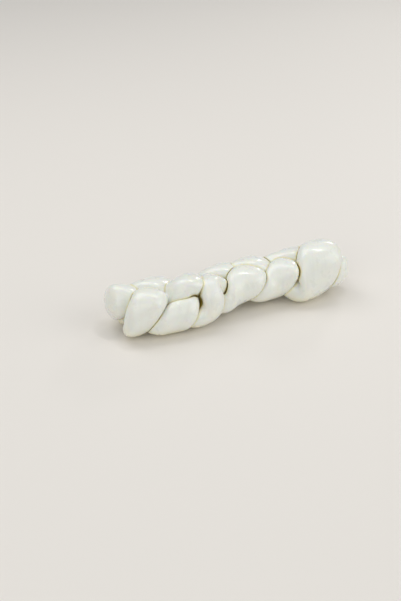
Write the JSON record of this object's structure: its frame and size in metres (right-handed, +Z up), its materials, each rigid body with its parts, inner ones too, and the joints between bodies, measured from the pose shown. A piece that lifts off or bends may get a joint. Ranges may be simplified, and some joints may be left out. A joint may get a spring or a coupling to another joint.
{
  "type": "braided string cheese",
  "caption": "Plaited log of soft white string cheese whose thick strands cross over and under each other, with rounded ends and a flattened underside.",
  "frame": {"origin": "centre of the bounding box at its bottom, on the surface the log rests on", "axes": "+X along the log towards its end with the widest lobe, +Y from the near side to the far side, +Z up"},
  "size_m": [0.2352, 0.0632, 0.0523],
  "materials": {
    "cheese": "moist, softly glossy, slightly translucent white cheese"
  },
  "bodies": {
    "root": {"strand_a": "cheese", "strand_b": "cheese", "strand_c": "cheese"}
  },
  "joints": []
}
